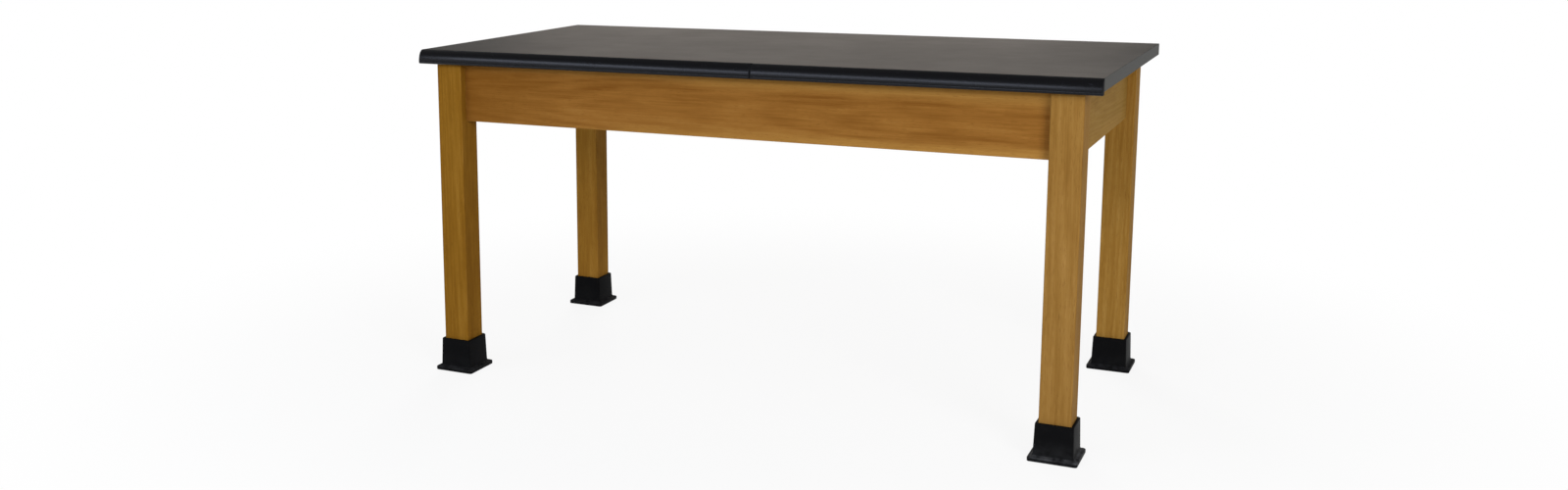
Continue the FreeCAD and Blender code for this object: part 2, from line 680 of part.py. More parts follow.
def make_clips_and_screws():
    """Angle clips between top and aprons, and the wood screws of clips and braces."""
    clip = new_body("top_clip")
    angle = sketch_on(clip, "YZ_Plane", "-clip_width / 2")
    outline(angle, [
        ("0", "0"), ("0", "-clip_leg"), ("clip_thickness", "-clip_leg"),
        ("clip_thickness", "-clip_thickness"), ("clip_leg", "-clip_thickness"), ("clip_leg", "0"),
    ])
    pad(clip, angle, "clip_width")
    upright = sketch_on(clip, "XZ_Plane")
    circles(upright, "pilot_diameter", [("0", "-clip_hole")])
    pocket(clip, upright, THROUGH)
    level = sketch_on(clip, "XY_Plane")
    circles(level, "pilot_diameter", [("0", "clip_hole")])
    pocket(clip, level, THROUGH)
    screw = turned("wood_screw", [
        ("0", "-screw_length"), ("screw_diameter / 2", "screw_point - screw_length"),
        ("screw_diameter / 2", "0"), ("screw_head_diameter / 2", "0"),
        ("screw_head_diameter / 2", "screw_head_height / 2"),
        ("screw_head_diameter / 3", "screw_head_height"), ("0", "screw_head_height"),
    ])
    head_down = FreeCAD.Rotation(V(1, 0, 0), 180)
    low = "under_top - clip_hole"
    clips = []
    screws = []
    for x in ("-long_clip_outer", "-clip_middle_place"):
        clips.append(placed(clip, x, "inner_y", "under_top", FreeCAD.Rotation()))
        screws.append(placed(screw, x, "inner_y + clip_thickness", low, facing(0, 1, 0)))
    clips.append(placed(clip, "inner_x", "-end_clip_place", "under_top", FreeCAD.Rotation(UP, -90)))
    screws.append(placed(screw, "inner_x + clip_thickness", "-end_clip_place", low, facing(1, 0, 0)))
    for x, y in clip_screw_places():
        screws.append(placed(screw, x, y, "under_top - clip_thickness", head_down))
    node("top_clips", in_four_corners(clips))
    node("clip_screws", in_four_corners(screws))
    reach = "brace_reach + brace_screw_place"
    brace_screws = []
    for height in pair("apron_middle", "brace_screw_spacing"):
        brace_screws.append(placed(screw, f"inner_x + {reach}", "inner_y + brace_thickness", height,
                                   facing(0, 1, 0)))
        brace_screws.append(placed(screw, "inner_x + brace_thickness", f"inner_y + {reach}", height,
                                   facing(1, 0, 0)))
    node("brace_screws", in_four_corners(brace_screws))


def make_boots():
    """Rubber boots: a flared sleeve round the leg with a coved flange on the floor."""
    boot = new_body("boot_front_left", "leg_x", "leg_y")
    base = sketch_on(boot, "XY_Plane")
    square(base, "boot_base")
    pad(boot, base, "boot_lip")
    waist = sketch_on(boot, "XY_Plane", "boot_lip")
    square(waist, "boot_waist")
    rim = sketch_on(boot, "XY_Plane", "boot_height")
    square(rim, "boot_top")
    wall = boot.newObject("PartDesign::AdditiveLoft", "Loft")
    wall.Profile = waist
    wall.Sections = [rim]
    doc.recompute()
    low = number("boot_lip")
    top = number("boot_height")
    round_edges(boot, "boot_corner_radius", lambda edge: abs(direction(edge).z) > 0.9)

    def at(edge, height):
        return abs(edge.BoundBox.ZMin - height) + abs(edge.BoundBox.ZMax - height) < 1e-4

    def inner(edge):
        box = edge.BoundBox
        reach = max(abs(box.XMin), abs(box.XMax), abs(box.YMin), abs(box.YMax))
        return reach < number("boot_waist") + 1e-3

    round_edges(boot, "boot_cove_radius", lambda edge: at(edge, low) and inner(edge))
    round_edges(boot, "boot_lip_radius", lambda edge: at(edge, low) and not inner(edge))
    round_edges(boot, "boot_rim_radius", lambda edge: at(edge, top))
    bore = sketch_on(boot, "XY_Plane")
    square(bore, "boot_bore")
    pocket(boot, bore, THROUGH, along_normal=True)
    four_nodes("boot", boot)


def make_levellers():
    """Threaded inserts, turning studs with a hex collar, and the feet they stand on."""
    bore = "stud_diameter / 2 + thread_clearance"
    insert = turned("insert", [
        (bore, "0"), ("insert_flange_diameter / 2", "0"),
        ("insert_flange_diameter / 2", "insert_flange_thickness"),
        ("insert_diameter / 2", "insert_flange_thickness"),
        ("insert_diameter / 2", "insert_flange_thickness + insert_length"),
        (bore, "insert_flange_thickness + insert_length"),
    ])
    place = placed(insert, "leg_x", "leg_y", "leg_bottom - insert_flange_thickness", FreeCAD.Rotation())
    node("leveller_inserts", in_four_corners([place]))

    socket = "spigot_diameter / 2 + thread_clearance"
    foot = turned("leveller_foot_front_left", [
        ("0", "0"), ("foot_diameter / 2", "0"), ("foot_diameter / 2", "foot_rim"),
        ("foot_crown_diameter / 2", "foot_height"), (socket, "foot_height"),
        (socket, "spigot_bottom - leveller_gap"), ("0", "spigot_bottom - leveller_gap"),
    ], "leg_x", "leg_y")
    four_nodes("leveller_foot", foot)

    stud = turned("leveller_stud_front_left", [
        ("0", "spigot_bottom"), ("spigot_diameter / 2", "spigot_bottom"),
        ("spigot_diameter / 2", "collar_bottom"), ("stud_diameter / 2", "collar_bottom"),
        ("stud_diameter / 2", "stud_top - stud_bevel"),
        ("stud_diameter / 2 - stud_bevel", "stud_top"), ("0", "stud_top"),
    ], "leg_x", "leg_y")
    collar = sketch_on(stud, "XY_Plane", "collar_bottom")
    hexagon(collar, "collar_width")
    pad(stud, collar, "collar_height")
    four_nodes("leveller_stud", stud)


def write_parts():
    """Check every object and write each node as its own file."""
    doc.recompute()
    for thing in doc.Objects:
        if {"Invalid", "Error"} & set(thing.State):
            raise ValueError(f"{thing.Label} did not build")
    os.makedirs("parts", exist_ok=True)
    for label, thing in nodes.items():
        shape = thing.Shape
        if shape.isNull() or not shape.isValid() or not shape.Solids:
            raise ValueError(f"{label} has no sound solid")
        shape.exportStep(f"parts/{label}.step")


make_top()
seam_left = "seam_place - seam_gap / 2"
seam_right = "seam_place + seam_gap / 2"
right_length = f"top_length / 2 - ({seam_right})"
make_nosing("front_nosing_left", "-top_length / 2", f"{seam_left} + top_length / 2", "0")
make_nosing("front_nosing_right", seam_right, right_length,
            f"{right_length} - band_thickness - tongue_clearance")
make_legs()
make_aprons()
make_dowels()
make_braces()
make_bolts()
make_clips_and_screws()
make_boots()
make_levellers()
write_parts()
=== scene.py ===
"""Looks of a science lab table: oak frame, black laminated top, rounded nosing and rubber boots."""
import logging
import math
from dataclasses import dataclass, field
from enum import Enum
from typing import Any, Callable, Optional, Sequence, Union

import bmesh
import bpy
from mathutils import Matrix, Vector


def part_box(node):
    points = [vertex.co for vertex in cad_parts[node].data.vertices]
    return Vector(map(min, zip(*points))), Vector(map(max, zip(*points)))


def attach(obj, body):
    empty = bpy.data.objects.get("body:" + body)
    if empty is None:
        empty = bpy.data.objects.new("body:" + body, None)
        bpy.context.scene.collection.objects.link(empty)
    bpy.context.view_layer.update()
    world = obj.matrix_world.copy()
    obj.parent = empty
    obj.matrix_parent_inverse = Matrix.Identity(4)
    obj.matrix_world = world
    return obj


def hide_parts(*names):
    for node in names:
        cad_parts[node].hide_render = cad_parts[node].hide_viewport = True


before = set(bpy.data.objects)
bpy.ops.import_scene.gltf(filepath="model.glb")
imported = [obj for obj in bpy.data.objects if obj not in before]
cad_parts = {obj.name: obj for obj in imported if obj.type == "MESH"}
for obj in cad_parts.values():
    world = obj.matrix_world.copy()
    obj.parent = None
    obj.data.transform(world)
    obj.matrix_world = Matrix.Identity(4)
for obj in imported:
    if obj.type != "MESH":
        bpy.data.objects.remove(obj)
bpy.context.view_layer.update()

MM = 0.001
SAME = 0.001 * MM  # lengths closer than this count as equal
CORNERS = ("front_left", "front_right", "rear_left", "rear_right")
log = logging.getLogger("science_lab_table")

Pair = tuple[float, float]
Triple = tuple[float, float, float]
Outline = list[Pair]
Colour = tuple[float, float, float, float]
WHITE: Colour = (1.0, 1.0, 1.0, 1.0)


def srgb(red: int, green: int, blue: int) -> Colour:
    """Turn a colour as seen on a screen into linear light.

    Args:
        red: screen value from 0 to 255.
        green: screen value from 0 to 255.
        blue: screen value from 0 to 255.

    Returns:
        Linear red, green, blue and an alpha of 1.
    """
    def linear(value: int) -> float:
        """One channel in linear light."""
        share = value / 255
        return share / 12.92 if share <= 0.04045 else ((share + 0.055) / 1.055) ** 2.4

    return (linear(red), linear(green), linear(blue), 1.0)


class Wire:
    """One output socket of a node tree, usable in Python expressions."""

    def __init__(self, graph: "Graph", socket: bpy.types.NodeSocket) -> None:
        """Keep the socket and the graph that it belongs to."""
        self.graph = graph
        self.socket = socket

    def _math(self, operation: str, *terms: Any) -> "Wire":
        """Add a Math node on the given terms."""
        return self.graph.node("ShaderNodeMath", {"operation": operation}, dict(enumerate(terms)))

    def __add__(self, other: Any) -> "Wire":
        """Sum."""
        return self._math("ADD", self, other)

    def __sub__(self, other: Any) -> "Wire":
        """Difference."""
        return self._math("SUBTRACT", self, other)

    def __rsub__(self, other: Any) -> "Wire":
        """Difference from a plain number."""
        return self._math("SUBTRACT", other, self)

    def __mul__(self, other: Any) -> "Wire":
        """Product."""
        return self._math("MULTIPLY", self, other)

    def __truediv__(self, other: Any) -> "Wire":
        """Quotient."""
        return self._math("DIVIDE", self, other)

    def __rtruediv__(self, other: Any) -> "Wire":
        """Quotient of a plain number."""
        return self._math("DIVIDE", other, self)

    def __pow__(self, other: Any) -> "Wire":
        """Power."""
        return self._math("POWER", self, other)

    def __abs__(self) -> "Wire":
        """Distance from zero."""
        return self._math("ABSOLUTE", self)

    __radd__ = __add__
    __rmul__ = __mul__

    def sine(self) -> "Wire":
        """Sine of an angle in radians."""
        return self._math("SINE", self)

    def least(self, other: Any) -> "Wire":
        """The smaller of two values."""
        return self._math("MINIMUM", self, other)

    def most(self, other: Any) -> "Wire":
        """The larger of two values."""
        return self._math("MAXIMUM", self, other)

    def swing(self, amount: float) -> "Wire":
        """Let a value from 0 to 1 swing about zero, by an amount from end to end."""
        return (self - 0.5) * amount

    def ramp(self, low: float, high: float) -> "Wire":
        """Rise smoothly from 0 at low to 1 at high."""
        inputs = {"Value": self, "From Min": low, "From Max": high}
        return self.graph.node("ShaderNodeMapRange", {"interpolation_type": "SMOOTHSTEP"}, inputs)

    def parts(self) -> list["Wire"]:
        """Split a vector into its three numbers."""
        split = self.graph.make("ShaderNodeSeparateXYZ", None, {0: self})
        return [Wire(self.graph, socket) for socket in split.outputs]


Term = Union[Wire, float]


class Graph:
    """The node tree of one material or of the world."""

    def __init__(self, owner: Union[bpy.types.Material, bpy.types.World]) -> None:
        """Start with an empty tree.

        Args:
            owner: material or world that holds the tree.
        """
        owner.use_nodes = True
        self.owner = owner
        self.tree = owner.node_tree
        self.tree.nodes.clear()

    def make(self, kind: str, settings: Optional[dict[str, Any]] = None,
             inputs: Optional[dict[Any, Any]] = None) -> bpy.types.Node:
        """Add any node.

        Args:
            kind: type of the node.
            settings: attributes set first; "stops" fills a colour ramp.
            inputs: values or wires by socket name or number.

        Returns:
            The new node.
        """
        made = self.tree.nodes.new(kind)
        for name, setting in (settings or {}).items():
            if name == "stops":
                self._fill_ramp(made.color_ramp, setting)
            else:
                setattr(made, name, setting)
        for name, value in (inputs or {}).items():
            if isinstance(value, Wire):
                self.tree.links.new(value.socket, made.inputs[name])
            else:
                made.inputs[name].default_value = value
        return made

    def node(self, kind: str, settings: Optional[dict[str, Any]] = None,
             inputs: Optional[dict[Any, Any]] = None, output: Any = 0) -> Wire:
        """Add any node and give one of its outputs, the first unless another is named."""
        return Wire(self, self.make(kind, settings, inputs).outputs[output])

    @staticmethod
    def _fill_ramp(ramp: bpy.types.ColorRamp, stops: Sequence[tuple[float, Colour]]) -> None:
        """Give a colour ramp its stops.

        Args:
            ramp: colour ramp of a new node.
            stops: place from 0 to 1 and colour of each stop.
        """
        while len(ramp.elements) < len(stops):
            ramp.elements.new(1.0)
        for element, (place, colour) in zip(ramp.elements, stops):
            element.position = place
            element.color = colour

    def place(self) -> Wire:
        """Object coordinates, in metres in the table's own frame."""
        return self.node("ShaderNodeTexCoord", output="Object")

    def vector(self, x: Term, y: Term, z: Term) -> Wire:
        """Join three numbers into a vector."""
        return self.node("ShaderNodeCombineXYZ", None, {0: x, 1: y, 2: z})

    def noise(self, place: Wire, scale: float = 1.0, detail: float = 2.0, roughness: float = 0.5) -> Wire:
        """Soft noise from 0 to 1.

        Args:
            place: where it is read.
            scale: blotches to a metre.
            detail: octaves.
            roughness: weight of the finer octaves.

        Returns:
            The noise value.
        """
        inputs = {"Vector": place, "Scale": scale, "Detail": detail, "Roughness": roughness}
        return self.node("ShaderNodeTexNoise", None, inputs)

    def drawn_noise(self, place: Sequence[Wire], long: float, wide: float, detail: float = 2.0,
                    roughness: float = 0.5) -> Wire:
        """Soft noise drawn out along the first of three directions.

        Args:
            place: where it is read, along the three directions.
            long: blotches to a metre along the first.
            wide: blotches to a metre along the other two.
            detail: octaves.
            roughness: weight of the finer octaves.

        Returns:
            The noise value.
        """
        first, second, third = place
        stretched = self.vector(first * long, second * wide, third * wide)
        return self.noise(stretched, detail=detail, roughness=roughness)

    def cells(self, place: Wire, scale: float, output: str = "Distance") -> Wire:
        """Cells of a random packing: the distance to a cell's middle, or its own colour."""
        return self.node("ShaderNodeTexVoronoi", None, {"Vector": place, "Scale": scale}, output)

    def blend(self, share: Term, first: Any, second: Any) -> Wire:
        """Go from a first colour to a second."""
        return self.node("ShaderNodeMix", {"data_type": "RGBA"}, {0: share, 6: first, 7: second}, 2)

    def bump(self, height: Term, depth: float, strength: float = 0.4) -> Wire:
        """Turn a height from 0 to 1 into a normal, depth being its size in metres."""
        inputs = {"Height": height, "Distance": depth, "Strength": strength}
        return self.node("ShaderNodeBump", None, inputs)

    def surface(self, **inputs: Any) -> bpy.types.Material:
        """Close a material with a Principled surface.

        Args:
            inputs: socket values, with _ for the spaces in their names.

        Returns:
            The finished material.
        """
        named = {name.replace("_", " "): value for name, value in inputs.items()}
        return self.close(self.node("ShaderNodeBsdfPrincipled", None, named))

    def close(self, shader: Wire, output: str = "ShaderNodeOutputMaterial") -> Any:
        """Lead a shader to the output and return the material or world."""
        self.make(output, None, {"Surface": shader})
        return self.owner

    @classmethod
    def material(cls, name: str) -> "Graph":
        """Start a new material."""
        return cls(bpy.data.materials.new(name))


class Grain(Enum):
    """Direction in which the fibres of a board run."""

    LENGTH = 0
    DEPTH = 1
    UPRIGHT = 2


class Figure(Enum):
    """Noises that make up the figure of a board, drawn out along its fibres.

    Each has its blotches to a metre along and across the fibres, its octaves and the weight of the
    finer ones.
    """

    FIBRE = (9.0, 420.0, 4.0, 0.6)
    CLOUD = (2.4, 13.0, 3.0, 0.5)
    STREAK = (1.1, 80.0, 3.0, 0.5)
    BLOTCH = (8.0, 42.0, 3.0, 0.6)
    PORES = (60.0, 1500.0, 1.0, 0.5)
    FLECK = (26.0, 190.0, 1.0, 0.5)
    WEAR = (18.0, 60.0, 3.0, 0.5)
    RING_DRIFT = (1.3, 4.0, 2.0, 0.5)
    RING_WAVER = (5.0, 70.0, 3.0, 0.5)


# In every finish a scale is in blotches to a metre, an edge is where a mask starts and ends,
# gloss is the shader's specular level, and relief is the depth of the bumps in metres.


@dataclass(frozen=True)
class OakFinish:
    """Honey-stained oak under satin lacquer.

    The growth rings are cylinders round a pith that lies beside the board and leans a little,
    so that they show as long arches on a broad face and as lines on a narrow one. Pale sapwood
    can border a darker heart. One end can be painted darker and the heart tapered so that the
    board lightens towards its other end: both are painted shade. The lighter edges are partly
    wear and partly a painted highlight.
    """

    name: str
    grain: Grain
    low: Vector
    high: Vector
    light: Colour = srgb(164, 119, 60)
    main: Colour = srgb(146, 99, 43)
    dark: Colour = srgb(120, 75, 26)
    pore: Colour = srgb(92, 55, 16)
    pore_edge: Pair = (0.58, 0.72)
    pore_share: float = 0.55
    sapwood: Colour = srgb(178, 134, 66)
    sapwood_share: float = 0.0
    # Colour, share and start of a darker end of the board: painted shade.
    painted_shade_colour: Colour = srgb(112, 68, 10)
    deep_share: float = 0.0
    painted_shade_start: float = 0.5
    heart_share: float = 0.0
    heart_drop: float = 0.0
    # Tapers the heart along the board so that it lightens towards one end: painted shade.
    heart_taper: float = 0.0
    heart_waver: float = 0.55
    heart_edge: Pair = (0.55, 0.95)
    ring_width: float = 5.0 * MM
    ring_drift: float = 24.0 * MM
    ring_waver: float = 1.1
    pith: Pair = (0.085, 0.02)
    lean: Pair = (0.02, 0.01)
    ring_contrast: float = 0.15
    fibre_contrast: float = 0.6
    cloud_contrast: float = 0.5
    streak_contrast: float = 0.35
    blotch_contrast: float = 0.45
    fleck_contrast: float = 0.10
    fleck_edge: Pair = (0.64, 0.74)
    # Width, noise edges and share of the lighter board edges: partly wear, partly a painted highlight.
    wear_width: float = 2.6 * MM
    wear_edge: Pair = (0.42, 0.70)
    wear_and_highlight_share: float = 0.35
    figure_step: Pair = (3.1, 7.7)
    figure_span: float = 5.0
    roughness: float = 0.52
    gloss: float = 0.018
    relief: float = 0.12 * MM

    def material(self) -> bpy.types.Material:
        """Build the wood.

        Returns:
            The material of one board.
        """
        graph = Graph.material(self.name)
        middle = (self.low + self.high) / 2
        half = (self.high - self.low) / 2
        centred = [part - centre for part, centre in zip(graph.place().parts(), middle)]
        along = centred[self.grain.value]
        across, height = (part for axis, part in enumerate(centred) if axis != self.grain.value)
        offset = (middle.x * self.figure_step[0] + middle.y * self.figure_step[1]) % self.figure_span
        fibres = (along + offset, across, height)

        def drawn(figure: Figure) -> Wire:
            """One noise of this board's own figure."""
            return graph.drawn_noise(fibres, *figure.value)

        ring = self._rings(along, across, height, drawn)
        fibre = drawn(Figure.FIBRE)
        cloud = drawn(Figure.CLOUD)
        pores = drawn(Figure.PORES).ramp(*self.pore_edge) * (0.35 + 0.65 * ring)
        fleck = drawn(Figure.FLECK).ramp(*self.fleck_edge)

        tone = 0.5 + ring.swing(self.ring_contrast) + fibre.swing(self.fibre_contrast)
        tone = tone + cloud.swing(self.cloud_contrast)
        tone = tone + drawn(Figure.STREAK).swing(self.streak_contrast)
        tone = tone + drawn(Figure.BLOTCH).swing(self.blotch_contrast)
        tone = tone + fleck * self.fleck_contrast
        # The taper term lightens the board towards its +along end: painted shade.
        from_heart = abs(height + half.z * self.heart_drop) + along * self.heart_taper
        from_heart = from_heart + cloud.swing(half.z) * self.heart_waver
        rim = from_heart.ramp(*(half.z * share for share in self.heart_edge))
        tone = tone - (1.0 - rim) * self.heart_share

        stops = [(0.10, self.dark), (0.5, self.main), (0.92, self.light)]
        wood = graph.node("ShaderNodeValToRGB", {"stops": stops}, {0: tone})
        wood = graph.blend(rim * (0.45 + 0.55 * fibre) * self.sapwood_share, wood, self.sapwood)
        # Darker colour towards the board's -along end: painted shade.
        reach = half[self.grain.value]
        stained = (along * -1.0).ramp(self.painted_shade_start * reach, reach)
        wood = graph.blend(stained * self.deep_share, wood, self.painted_shade_colour)
        wood = graph.blend(pores * self.pore_share, wood, self.pore)
        # Lighter colour along the board's edges: partly wear, partly a painted highlight on the eased
        # arrises.
        worn = self._edge(centred, half) * drawn(Figure.WEAR).ramp(*self.wear_edge)
        wood = graph.blend(worn * self.wear_and_highlight_share, wood, self.sapwood)

        lacquer = self.roughness + 0.10 * cloud + 0.08 * fibre + 0.12 * pores + 0.12 * worn
        skin = graph.bump(fibre * 0.35 - pores * 0.65, self.relief, strength=0.5)
        return graph.surface(Base_Color=wood, Roughness=lacquer, Normal=skin, Specular_IOR_Level=self.gloss)

    def _rings(self, along: Wire, across: Wire, height: Wire, drawn: Callable[[Figure], Wire]) -> Wire:
        """Growth rings.

        Args:
            along: place along the fibres.
            across: place across the board's thickness or width.
            height: place in the third direction.
            drawn: gives a noise of the board's figure.

        Returns:
            1 in late wood, 0 in early wood.
        """
        drift = drawn(Figure.RING_DRIFT).swing(self.ring_drift)
        from_pith = across - self.pith[0] + along * self.lean[0] + drift
        beside_pith = height - self.pith[1] + along * self.lean[1]
        radius = (from_pith * from_pith + beside_pith * beside_pith) ** 0.5
        phase = radius / self.ring_width + drawn(Figure.RING_WAVER) * self.ring_waver
        return (phase * math.tau).sine() * 0.5 + 0.5

    def _edge(self, centred: Sequence[Wire], half: Vector) -> Wire:
        """Find the board's edges.

        Args:
            centred: place from the board's middle.
            half: half the board's size.

        Returns:
            1 along the edges, 0 away from them.
        """
        x, y, z = (abs(part) - reach for part, reach in zip(centred, half))
        nearest = x.least(y).most(y.least(z)).most(x.least(z))
        return nearest.ramp(-self.wear_width, -self.wear_width / 5)


@dataclass(frozen=True)
class LaminateFinish:
    """Black laminate with a fine pebbled skin and faint rubbed patches."""

    name: str = "black_laminate"
    black: Colour = srgb(33, 32, 29)
    rubbed: Colour = srgb(47, 45, 41)
    pebble_scale: float = 900.0
    haze_scale: float = 3.0
    wipe_scale: float = 14.0
    dust_scale: float = 420.0
    dust_edge: Pair = (0.66, 0.80)
    roughness: float = 0.52
    gloss: float = 0.13
    gloss_tint: Colour = (1.0, 0.955, 0.91, 1.0)
    relief: float = 0.03 * MM

    def material(self) -> bpy.types.Material:
        """Build the laminate.

        Returns:
            Its material.
        """
        graph = Graph.material(self.name)
        place = graph.place()
        pebble = graph.cells(place, self.pebble_scale)
        haze = graph.noise(place, self.haze_scale, detail=4.0, roughness=0.6)
        wipe = graph.noise(place, self.wipe_scale, detail=5.0, roughness=0.65)
        dust = graph.noise(place, self.dust_scale).ramp(*self.dust_edge)
        colour = graph.blend(haze * 0.6 + wipe * 0.3, self.black, self.rubbed)
        rough = self.roughness + haze.swing(0.12) + wipe.swing(0.08) + dust * 0.05
        skin = graph.bump(pebble + dust * 0.2, self.relief, strength=0.35)
        return graph.surface(Base_Color=colour, Roughness=rough, Normal=skin,
                             Specular_IOR_Level=self.gloss, Specular_Tint=self.gloss_tint)


@dataclass(frozen=True)
class NosingFinish:
    """Glossy black vinyl with drawn lines along its length, a top dulled by use and matt sawn ends."""

    half_length: float
    top: float
    seam: float
    name: str = "black_nosing"
    black: Colour = srgb(11, 11, 13)
    scuffed: Colour = srgb(34, 34, 40)
    scuff_edge: Pair = (0.62, 0.80)
    end_edge: Pair = (1.0 * MM, 0.2 * MM)
    seam_edge: Pair = (1.2 * MM, 3.2 * MM)
    dulled_depth: float = 2.0 * MM
    roughness: float = 0.20
    gloss: float = 0.19
    gloss_tint: Colour = (0.90, 0.92, 1.0, 1.0)
    relief: float = 0.02 * MM

    def material(self) -> bpy.types.Material:
        """Build the vinyl.

        Returns:
            Its material.
        """
        graph = Graph.material(self.name)
        place = graph.place().parts()
        x, _, z = place
        drawn = graph.drawn_noise(place, long=4.0, wide=900.0)
        scuff = graph.drawn_noise(place, long=60.0, wide=260.0, detail=3.0).ramp(*self.scuff_edge)
        haze = graph.drawn_noise(place, long=5.0, wide=20.0, detail=3.0)
        sawn = abs(x).ramp(*(self.half_length - depth for depth in self.end_edge))
        sawn = sawn.most(1.0 - abs(x - self.seam).ramp(*self.seam_edge))
        dulled = z.ramp(self.top - self.dulled_depth, self.top)
        colour = graph.blend(scuff * 0.5, self.black, self.scuffed)
        rough = self.roughness + haze * 0.08 + scuff * 0.12 + sawn * 0.55 + dulled * 0.40
        skin = graph.bump(drawn * 0.6 - scuff * 0.4, self.relief, strength=0.35)
        return graph.surface(Base_Color=colour, Roughness=rough, Normal=skin,
                             Specular_IOR_Level=self.gloss, Specular_Tint=self.gloss_tint)


@dataclass(frozen=True)
class BandFinish:
    """Matt black edge band with a faintly mottled, rubbed skin."""

    name: str = "black_band"
    black: Colour = srgb(29, 29, 25)
    rubbed: Colour = srgb(50, 50, 42)
    mottle_scale: float = 130.0
    mottle_edge: Pair = (0.35, 0.75)
    grain_scale: float = 1100.0
    roughness: float = 0.50
    gloss: float = 0.10
    relief: float = 0.03 * MM

    def material(self) -> bpy.types.Material:
        """Build the band.

        Returns:
            Its material.
        """
        graph = Graph.material(self.name)
        place = graph.place()
        mottle = graph.noise(place, self.mottle_scale, detail=4.0, roughness=0.6)
        fine = graph.cells(place, self.grain_scale)
        colour = graph.blend(mottle.ramp(*self.mottle_edge), self.black, self.rubbed)
        return graph.surface(Base_Color=colour, Roughness=self.roughness + mottle.swing(0.2),
                             Normal=graph.bump(fine, self.relief), Specular_IOR_Level=self.gloss)


@dataclass(frozen=True)
class BoardFinish:
    """Raw particleboard: pressed chips of mixed tones."""

    name: str = "core_board"
    pale: Colour = srgb(206, 178, 136)
    brown: Colour = srgb(138, 104, 68)
    chip_scale: float = 420.0
    roughness: float = 0.75
    relief: float = 0.3 * MM

    def material(self) -> bpy.types.Material:
        """Build the chips.

        Returns:
            Their material.
        """
        graph = Graph.material(self.name)
        place = graph.place()
        tone = graph.cells(place, self.chip_scale, "Color").parts()[0]
        depth = graph.cells(place, self.chip_scale)
        colour = graph.blend(tone, self.pale, self.brown)
        return graph.surface(Base_Color=colour, Roughness=self.roughness + tone * 0.2,
                             Normal=graph.bump(depth, self.relief, strength=0.5))


@dataclass(frozen=True)
class BackerFinish:
    """Brown resin-soaked balancing paper under the top."""

    name: str = "backer_paper"
    brown: Colour = srgb(104, 76, 52)
    dark: Colour = srgb(78, 56, 38)
    cloud_scale: float = 6.0
    tooth_scale: float = 700.0
    roughness: float = 0.55
    relief: float = 0.05 * MM

    def material(self) -> bpy.types.Material:
        """Build the paper.

        Returns:
            Its material.
        """
        graph = Graph.material(self.name)
        place = graph.place()
        cloud = graph.noise(place, self.cloud_scale, detail=4.0)
        tooth = graph.noise(place, self.tooth_scale)
        colour = graph.blend(cloud, self.brown, self.dark)
        return graph.surface(Base_Color=colour, Roughness=self.roughness + tooth * 0.15,
                             Normal=graph.bump(tooth, self.relief))


@dataclass(frozen=True)
class RubberFinish:
    """Moulded black rubber with a satin skin, a lighter band on its flange and a faint bloom. The band
    is partly dull dust and partly a painted highlight.

    The ledge gives the heights where that band on the flange starts, is full, thins out and ends.
    """

    name: str = "boot_rubber"
    black: Colour = srgb(16, 16, 17)
    bloom: Colour = srgb(28, 28, 27)
    bloom_scale: float = 28.0
    bloom_edge: Pair = (0.45, 0.85)
    # Light bluish grey of the flange band: partly dust, partly a painted highlight.
    dust: Colour = srgb(104, 105, 108)
    dust_scale: float = 70.0
    dust_edge: Pair = (0.20, 0.75)
    dust_and_highlight_share: float = 0.16
    ledge: tuple[float, float, float, float] = (5.6 * MM, 7.8 * MM, 9.8 * MM, 13.0 * MM)
    skin_scale: float = 900.0
    roughness: float = 0.36
    gloss: float = 0.015
    relief: float = 0.06 * MM

    def material(self) -> bpy.types.Material:
        """Build the rubber.

        Returns:
            Its material.
        """
        graph = Graph.material(self.name)
        place = graph.place()
        height = place.parts()[2]
        skin = graph.noise(place, self.skin_scale)
        bloom = graph.noise(place, self.bloom_scale, detail=5.0, roughness=0.65)
        # Band along the flange's upper edge that takes the lighter colour: partly dust, partly a painted
        # highlight.
        ledge = height.ramp(*self.ledge[:2]) * (1.0 - height.ramp(*self.ledge[2:]))
        near_floor = 1.0 - height.ramp(self.ledge[3], 4.0 * self.ledge[3])
        patches = graph.noise(place, self.dust_scale, detail=4.0).ramp(*self.dust_edge)
        dust = (0.85 * ledge + 0.15 * near_floor) * patches
        colour = graph.blend(bloom.ramp(*self.bloom_edge) * 0.45, self.black, self.bloom)
        colour = graph.blend(dust * self.dust_and_highlight_share, colour, self.dust)
        rough = self.roughness + bloom * 0.16 + dust * 0.15
        return graph.surface(Base_Color=colour, Roughness=rough, Specular_IOR_Level=self.gloss,
                             Normal=graph.bump(skin + bloom * 0.8, self.relief, strength=0.35))


@dataclass(frozen=True)
class ZincFinish:
    """Zinc-plated steel with a faint crystal pattern and a dull bloom."""

    name: str = "zinc_steel"
    bright: Colour = srgb(204, 206, 204)
    dull: Colour = srgb(160, 160, 152)
    flake_scale: float = 260.0
    bloom_scale: float = 45.0
    brush_scale: float = 1200.0
    roughness: float = 0.26
    relief: float = 0.01 * MM

    def material(self) -> bpy.types.Material:
        """Build the plating.

        Returns:
            Its material.
        """
        graph = Graph.material(self.name)
        place = graph.place()
        flake = graph.cells(place, self.flake_scale, "Color").parts()[0]
        bloom = graph.noise(place, self.bloom_scale, detail=4.0)
        brush = graph.noise(place, self.brush_scale, detail=1.0)
        colour = graph.blend(flake * 0.45 + bloom * 0.4, self.bright, self.dull)
        rough = self.roughness + flake * 0.10 + bloom * 0.12
        return graph.surface(Base_Color=colour, Metallic=1.0, Roughness=rough,
                             Normal=graph.bump(brush, self.relief))


